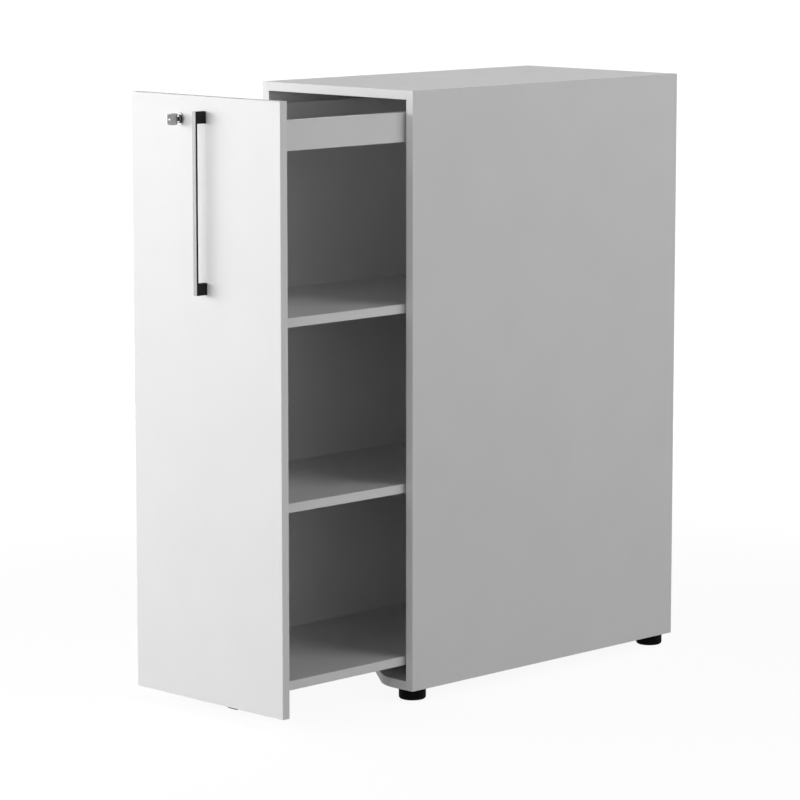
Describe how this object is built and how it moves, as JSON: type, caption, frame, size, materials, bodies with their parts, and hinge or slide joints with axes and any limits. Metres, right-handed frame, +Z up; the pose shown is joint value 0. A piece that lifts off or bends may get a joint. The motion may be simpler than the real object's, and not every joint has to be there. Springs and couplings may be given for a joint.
{
  "type": "locker cabinet",
  "caption": "Tall white locker cabinet with a full-height pull-out on ball runners and a castor, shelves open to one side, bar handle, cam lock with key and levelling feet.",
  "frame": {"origin": "middle of the whole part's footprint on the floor, with the pull-out drawn out 328 mm as in the picture", "axes": "+X to the right seen from the front, +Y from the front panel towards the cabinet's back, +Z up"},
  "size_m": [0.422, 1.16, 1.203],
  "materials": {
    "white_board": "satin white melamine on chipboard",
    "fitting_zinc": "zinc plated",
    "beech": "plain beech",
    "runner_zinc": "bright zinc",
    "channel_aluminium": "mill finish",
    "nylon": "natural nylon",
    "bumper_clear": "translucent soft pad",
    "foot_black": "moulded, fine grain",
    "castor_black": "black, semi-matt",
    "castor_rubber": "light grey tread",
    "handle_black": "black powder coat",
    "handle_silver": "satin anodised",
    "lock_nickel": "satin nickel",
    "lock_black": "black nickel",
    "key_nickel": "nickel plated"
  },
  "bodies": {
    "carcass": {"left_side_panel": "white_board", "right_side_panel": "white_board", "top_panel": "white_board", "bottom_panel": "white_board", "back_panel": "white_board", "carcass_cam_discs": "fitting_zinc", "carcass_connector_bolts": "fitting_zinc", "carcass_dowels": "beech", "foot_sockets": "fitting_zinc", "left_runner_cabinet_member": "runner_zinc", "right_runner_cabinet_member": "runner_zinc", "carcass_screws": "fitting_zinc", "guide_channel": "channel_aluminium", "strike_plate": "fitting_zinc"},
    "pullout": {"front_panel": "white_board", "pullout_side_panel": "white_board", "pullout_back_panel": "white_board", "bottom_shelf": "white_board", "lower_shelf": "white_board", "upper_shelf": "white_board", "top_rail": "white_board", "pullout_cam_discs": "fitting_zinc", "pullout_connector_bolts": "fitting_zinc", "pullout_dowels": "beech", "bump_pads": "bumper_clear", "handle_bow": "handle_black", "handle_strip": "handle_silver", "handle_screws": "fitting_zinc", "left_runner_pullout_member": "runner_zinc", "right_runner_pullout_member": "runner_zinc", "pullout_screws": "fitting_zinc", "castor_fork": "castor_black", "castor_axle": "fitting_zinc", "guide_block": "nylon", "guide_block_screws": "fitting_zinc", "lock_housing": "lock_black", "lock_rosette": "lock_nickel", "lock_nut": "fitting_zinc"},
    "castor_wheel": {"castor_hub": "castor_black", "castor_tyre": "castor_rubber"},
    "lock_core": {"lock_plug": "lock_nickel", "lock_cam": "fitting_zinc", "lock_cam_screw": "fitting_zinc"},
    "key": {"key": "key_nickel"},
    "left_outer_cage": {"left_runner_outer_ball_cage": "runner_zinc"},
    "left_middle": {"left_runner_middle_member": "runner_zinc"},
    "left_inner_cage": {"left_runner_inner_ball_cage": "runner_zinc"},
    "right_outer_cage": {"right_runner_outer_ball_cage": "runner_zinc"},
    "right_middle": {"right_runner_middle_member": "runner_zinc"},
    "right_inner_cage": {"right_runner_inner_ball_cage": "runner_zinc"},
    "front_left_foot": {"front_left_foot_pad": "foot_black", "front_left_foot_stud": "fitting_zinc"},
    "front_right_foot": {"front_right_foot_pad": "foot_black", "front_right_foot_stud": "fitting_zinc"},
    "rear_left_foot": {"rear_left_foot_pad": "foot_black", "rear_left_foot_stud": "fitting_zinc"},
    "rear_right_foot": {"rear_right_foot_pad": "foot_black", "rear_right_foot_stud": "fitting_zinc"}
  },
  "joints": [
    {"name": "pullout_slide", "type": "slide", "parent": "carcass", "child": "pullout", "axis": [0, -1, 0], "range_m": [-0.328, 0.272]},
    {"name": "left_outer_cage_slide", "type": "slide", "parent": "carcass", "child": "left_outer_cage", "axis": [0, -1, 0], "range_m": [-0.082, 0.068]},
    {"name": "left_middle_slide", "type": "slide", "parent": "carcass", "child": "left_middle", "axis": [0, -1, 0], "range_m": [-0.164, 0.136]},
    {"name": "left_inner_cage_slide", "type": "slide", "parent": "carcass", "child": "left_inner_cage", "axis": [0, -1, 0], "range_m": [-0.246, 0.204]},
    {"name": "right_outer_cage_slide", "type": "slide", "parent": "carcass", "child": "right_outer_cage", "axis": [0, -1, 0], "range_m": [-0.082, 0.068]},
    {"name": "right_middle_slide", "type": "slide", "parent": "carcass", "child": "right_middle", "axis": [0, -1, 0], "range_m": [-0.164, 0.136]},
    {"name": "right_inner_cage_slide", "type": "slide", "parent": "carcass", "child": "right_inner_cage", "axis": [0, -1, 0], "range_m": [-0.246, 0.204]},
    {"name": "castor_roll", "type": "hinge", "parent": "pullout", "child": "castor_wheel", "pos_m": [0, -0.476, 0.024], "axis": [1, 0, 0], "continuous": true},
    {"name": "lock_turn", "type": "hinge", "parent": "pullout", "child": "lock_core", "pos_m": [-0.0688, -0.546, 1.153], "axis": [0, 1, 0], "range_deg": [0, 90]},
    {"name": "key_slide", "type": "slide", "parent": "lock_core", "child": "key", "axis": [0, -1, 0], "range_m": [0, 0.024]},
    {"name": "front_left_foot_level", "type": "slide", "parent": "carcass", "child": "front_left_foot", "axis": [0, 0, -1], "range_m": [0, 0.01]},
    {"name": "front_right_foot_level", "type": "slide", "parent": "carcass", "child": "front_right_foot", "axis": [0, 0, -1], "range_m": [0, 0.01]},
    {"name": "rear_left_foot_level", "type": "slide", "parent": "carcass", "child": "rear_left_foot", "axis": [0, 0, -1], "range_m": [0, 0.01]},
    {"name": "rear_right_foot_level", "type": "slide", "parent": "carcass", "child": "rear_right_foot", "axis": [0, 0, -1], "range_m": [0, 0.01]}
  ],
  "couplings": [
    {"joint": "left_outer_cage_slide", "follows": "pullout_slide", "ratio": 0.25},
    {"joint": "left_middle_slide", "follows": "pullout_slide", "ratio": 0.5},
    {"joint": "left_inner_cage_slide", "follows": "pullout_slide", "ratio": 0.75},
    {"joint": "right_outer_cage_slide", "follows": "pullout_slide", "ratio": 0.25},
    {"joint": "right_middle_slide", "follows": "pullout_slide", "ratio": 0.5},
    {"joint": "right_inner_cage_slide", "follows": "pullout_slide", "ratio": 0.75},
    {"joint": "castor_roll", "follows": "pullout_slide", "rad_per_m": 41.667}
  ]
}
